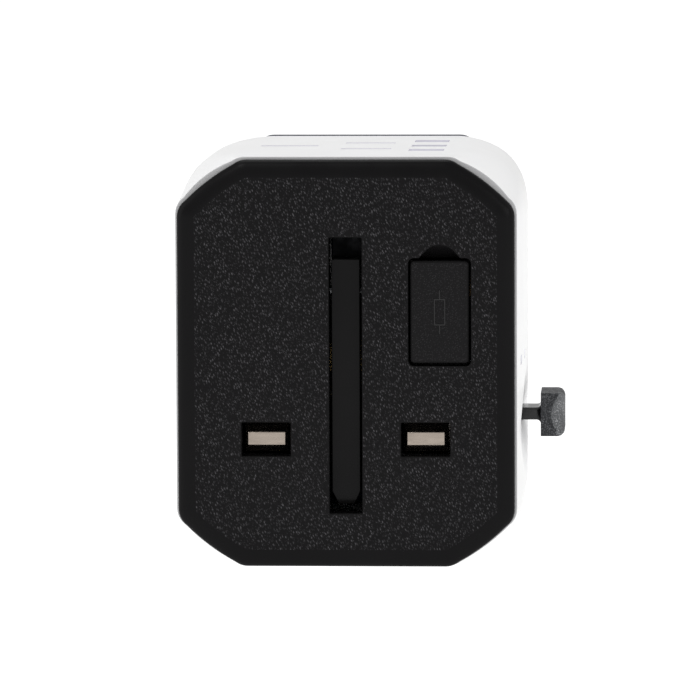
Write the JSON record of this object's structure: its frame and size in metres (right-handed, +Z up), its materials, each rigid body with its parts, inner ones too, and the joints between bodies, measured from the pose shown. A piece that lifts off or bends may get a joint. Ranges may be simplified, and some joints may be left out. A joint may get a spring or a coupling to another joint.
{
  "type": "universal travel adapter",
  "caption": "Block-shaped travel adapter: white barrel sleeve, black plug face with sliding pins, folding earth pin and fuse drawer, universal socket and USB ports behind.",
  "frame": {"origin": "centre of the flat that the sleeve rests on, half-way along the body", "axes": "+X towards the release knob, +Y from the plug face to the socket face, +Z up with the earth pin's hinge above the live and neutral pins"},
  "size_m": [0.0545, 0.062, 0.0578],
  "materials": {
    "shell_white": "gloss",
    "face_black": "fine spark-eroded texture with a satin rim",
    "cap_navy": "satin",
    "pin_black": "smooth satin",
    "knob_grey": "matt",
    "moulding_grey": "matt",
    "inner_white": "satin",
    "pin_nickel": "nickel-plated brass, satin",
    "brass": "rolled sheet",
    "steel": "zinc-plated",
    "fuse_ceramic": "unglazed",
    "board_green": "solder mask",
    "ferrite": "sintered",
    "winding_tape": "polyester tape",
    "component_black": "moulded epoxy",
    "capacitor_blue": "shrink sleeve",
    "led_clear": "clear",
    "wire_brown": "insulation",
    "wire_blue": "insulation"
  },
  "bodies": {
    "casing": {"shell_sleeve": "shell_white", "plug_face_cover": "face_black", "socket_face_cover": "cap_navy", "plug_housing": "moulding_grey", "housing_screw_1": "steel", "housing_screw_2": "steel", "housing_screw_3": "steel", "housing_screw_4": "steel", "earth_pin_axle": "steel", "earth_detent_spring": "steel", "live_rail": "brass", "fuse_strip": "brass", "live_contact": "brass", "neutral_contact": "brass", "contact_carrier": "moulding_grey", "carrier_screw_1": "steel", "carrier_screw_2": "steel", "shutter_spring_1": "steel", "shutter_spring_2": "steel", "usb_board": "board_green", "usb_port_1": "steel", "usb_port_2": "steel", "usb_tongue_1": "inner_white", "usb_tongue_2": "inner_white", "transformer_core": "ferrite", "transformer_winding": "winding_tape", "input_capacitor": "component_black", "output_capacitor": "capacitor_blue", "bridge_rectifier": "component_black", "light_pipe": "led_clear", "power_led": "led_clear", "board_wire_live": "wire_brown", "board_wire_neutral": "wire_blue"},
    "pin_carriage": {"pin_carriage": "pin_black", "live_pin": "pin_nickel", "live_pin_sleeve": "pin_black", "live_wiper": "brass", "neutral_pin": "pin_nickel", "neutral_pin_sleeve": "pin_black", "neutral_wiper": "brass", "knob_spring": "steel"},
    "release_knob": {"release_knob": "knob_grey"},
    "earth_pin": {"earth_pin": "pin_black"},
    "fuse_drawer": {"fuse_drawer": "face_black", "working_fuse_tube": "fuse_ceramic", "working_fuse_front_cap": "pin_nickel", "working_fuse_rear_cap": "pin_nickel", "spare_fuse_tube": "fuse_ceramic", "spare_fuse_front_cap": "pin_nickel", "spare_fuse_rear_cap": "pin_nickel"},
    "socket_shutter": {"socket_shutter": "inner_white"}
  },
  "joints": [
    {"name": "pin_slide", "type": "slide", "parent": "casing", "child": "pin_carriage", "axis": [0, -1, 0], "range_m": [0, 0.019]},
    {"name": "knob_press", "type": "slide", "parent": "pin_carriage", "child": "release_knob", "axis": [-1, 0, 0], "range_m": [0, 0.0018], "stiffness_N_per_m": 600, "springref_m": -0.0012, "deforming": ["knob_spring"]},
    {"name": "earth_pin_fold", "type": "hinge", "parent": "casing", "child": "earth_pin", "pos_m": [0, -0.0242, 0.03872], "axis": [-1, 0, 0], "range_deg": [0, 90]},
    {"name": "fuse_drawer_slide", "type": "slide", "parent": "casing", "child": "fuse_drawer", "axis": [0, -1, 0], "range_m": [0, 0.022]},
    {"name": "shutter_lift", "type": "slide", "parent": "casing", "child": "socket_shutter", "axis": [0, 0, 1], "range_m": [0, 0.0098], "stiffness_N_per_m": 60, "springref_m": -0.004, "deforming": ["shutter_spring_1", "shutter_spring_2"]}
  ]
}
